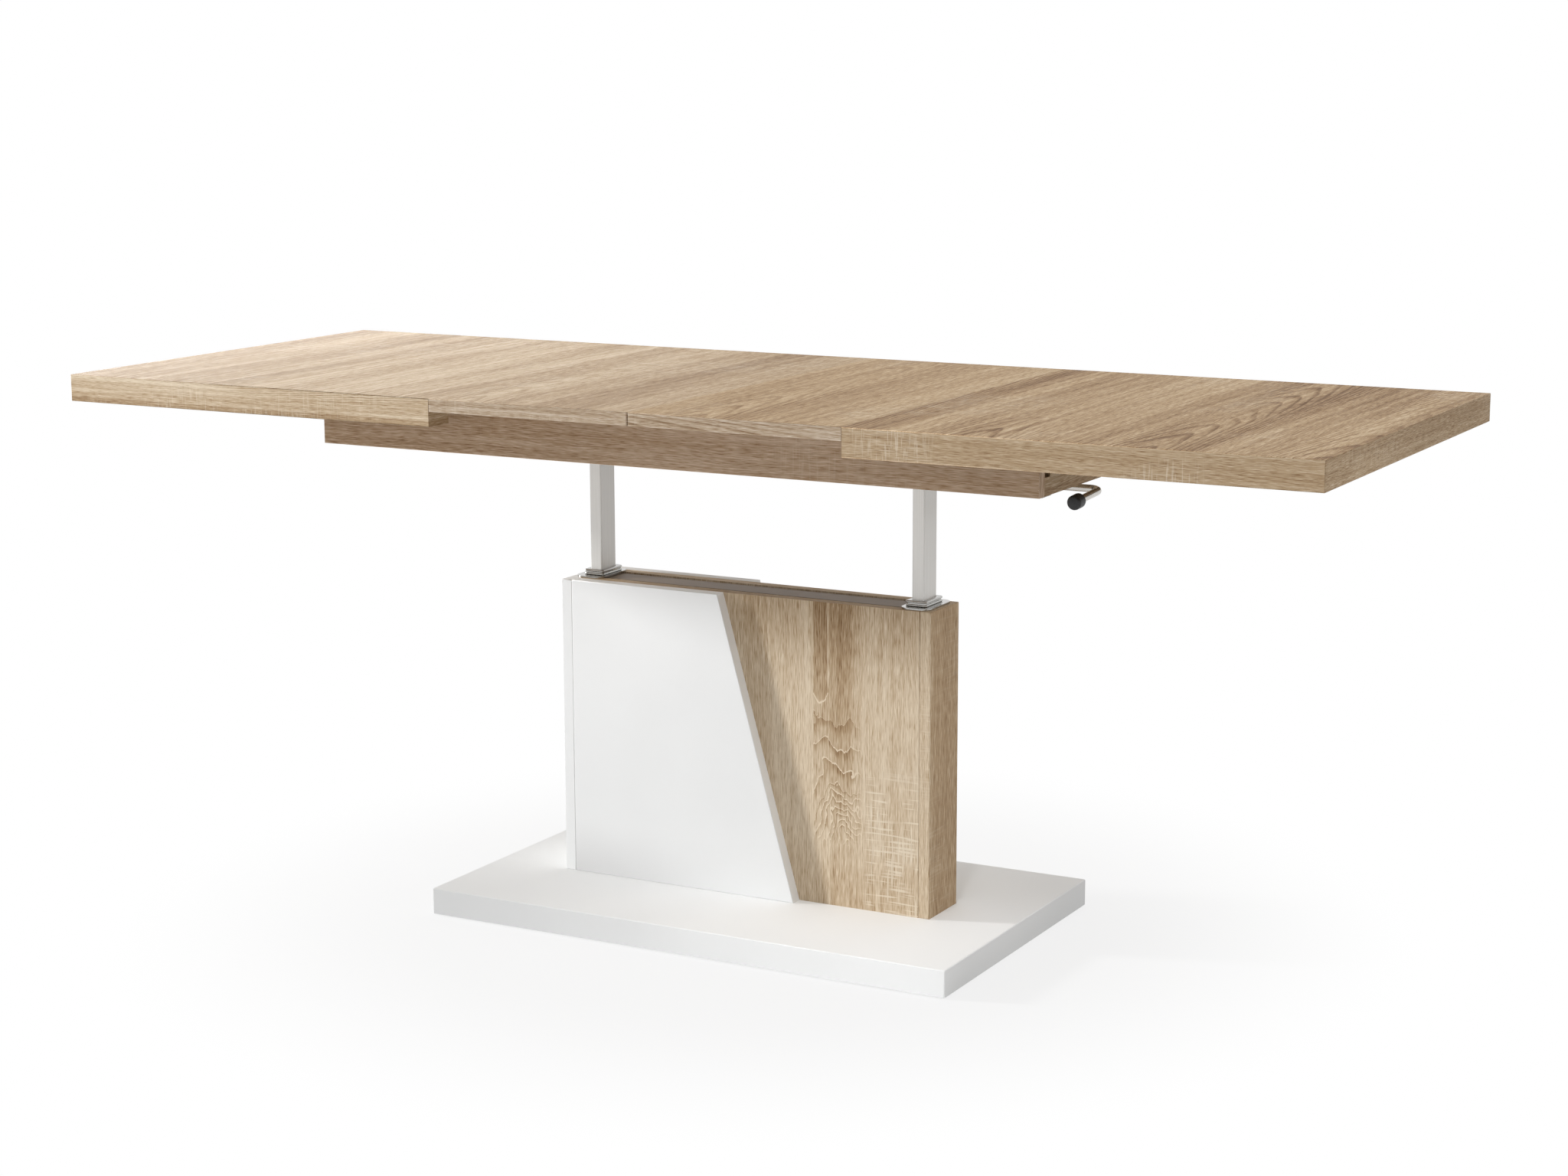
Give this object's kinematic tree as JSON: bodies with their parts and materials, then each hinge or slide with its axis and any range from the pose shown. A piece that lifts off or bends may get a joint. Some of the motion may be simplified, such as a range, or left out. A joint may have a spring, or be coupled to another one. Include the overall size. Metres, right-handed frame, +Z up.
{
  "type": "convertible coffee dining table",
  "caption": "Coffee table that lifts to dining height on twin telescopic columns in a slab pedestal, with leaves that slide apart to take loose inserts.",
  "frame": {"origin": "on the floor, under the middle of the base and of the top", "axes": "+X along the table's length, towards the lever end; +Y away from the front; +Z up"},
  "size_m": [1.8, 0.68, 0.735],
  "materials": {
    "oak_decor": "sawn oak decor on laminated board, matt",
    "white_lacquer": "white satin lacquer on board",
    "satin_aluminium": "satin anodised extrusion",
    "grey_steel": "grey coated sheet steel",
    "zinc_steel": "zinc plated",
    "polished_steel": "ground and plated",
    "grey_plastic": "satin grey moulding",
    "black_plastic": "black moulding"
  },
  "bodies": {
    "pedestal": {"base_plate": "white_lacquer", "glide_pads": "black_plastic", "base_bolts": "zinc_steel", "pedestal_front_panel": "oak_decor", "pedestal_back_panel": "oak_decor", "pedestal_left_end_panel": "white_lacquer", "pedestal_right_end_panel": "oak_decor", "front_cladding": "white_lacquer", "back_cladding": "white_lacquer", "tie_bar": "grey_steel", "left_guide_tube": "grey_steel", "right_guide_tube": "grey_steel", "left_foot_plate": "grey_steel", "right_foot_plate": "grey_steel", "left_flange_plate": "grey_steel", "right_flange_plate": "grey_steel", "left_guide_collar": "grey_plastic", "right_guide_collar": "grey_plastic", "left_gas_cylinder": "grey_steel", "right_gas_cylinder": "grey_steel"},
    "top_frame": {"apron_front_board": "oak_decor", "apron_back_board": "oak_decor", "shaft_hanger": "grey_steel", "left_apron_end_board": "oak_decor", "right_apron_end_board": "oak_decor", "left_shelf": "oak_decor", "right_shelf": "oak_decor", "left_head_plate": "grey_steel", "right_head_plate": "grey_steel", "left_column": "satin_aluminium", "right_column": "satin_aluminium", "left_lower_bush": "grey_plastic", "right_lower_bush": "grey_plastic", "left_gas_rod": "polished_steel", "right_gas_rod": "polished_steel", "left_rod_anchor": "zinc_steel", "right_rod_anchor": "zinc_steel", "left_slide_outer_rails": "zinc_steel", "right_slide_outer_rails": "zinc_steel"},
    "release_lever": {"release_lever": "polished_steel", "lever_knob": "black_plastic", "release_cams": "zinc_steel"},
    "release_pins": {"release_pins": "polished_steel"},
    "left_leaf": {"left_leaf_board": "oak_decor", "left_leaf_rim": "oak_decor", "left_slide_inner_rails": "zinc_steel", "left_leaf_brackets": "grey_steel"},
    "left_ball_cages": {"left_ball_cages": "zinc_steel"},
    "left_insert": {"left_insert_board": "oak_decor"},
    "right_leaf": {"right_leaf_board": "oak_decor", "right_leaf_rim": "oak_decor", "right_slide_inner_rails": "zinc_steel", "right_leaf_brackets": "grey_steel"},
    "right_ball_cages": {"right_ball_cages": "zinc_steel"},
    "right_insert": {"right_insert_board": "oak_decor"}
  },
  "joints": [
    {"name": "lift", "type": "slide", "parent": "pedestal", "child": "top_frame", "axis": [0, 0, 1], "range_m": [-0.15, 0]},
    {"name": "lever_pull", "type": "hinge", "parent": "top_frame", "child": "release_lever", "pos_m": [0, 0, 0.6267], "axis": [-1, 0, 0], "range_deg": [0, 18], "stiffness_Nm_per_rad": 0.5},
    {"name": "pin_press", "type": "slide", "parent": "top_frame", "child": "release_pins", "axis": [0, 0, -1], "range_m": [0, 0.0016]},
    {"name": "left_leaf_pull", "type": "slide", "parent": "top_frame", "child": "left_leaf", "axis": [-1, 0, 0], "range_m": [0, 0.025]},
    {"name": "left_cage_roll", "type": "slide", "parent": "top_frame", "child": "left_ball_cages", "axis": [-1, 0, 0], "range_m": [0, 0.0125]},
    {"name": "left_insert_lift", "type": "slide", "parent": "top_frame", "child": "left_insert", "axis": [0, 0, 1], "range_m": [0, 0.06]},
    {"name": "right_leaf_pull", "type": "slide", "parent": "top_frame", "child": "right_leaf", "axis": [1, 0, 0], "range_m": [0, 0.025]},
    {"name": "right_cage_roll", "type": "slide", "parent": "top_frame", "child": "right_ball_cages", "axis": [1, 0, 0], "range_m": [0, 0.0125]},
    {"name": "right_insert_lift", "type": "slide", "parent": "top_frame", "child": "right_insert", "axis": [0, 0, 1], "range_m": [0, 0.06]}
  ],
  "couplings": [
    {"joint": "pin_press", "follows": "lever_pull", "m_per_rad": 0.004918},
    {"joint": "left_cage_roll", "follows": "left_leaf_pull", "ratio": 0.5},
    {"joint": "right_cage_roll", "follows": "right_leaf_pull", "ratio": 0.5}
  ]
}
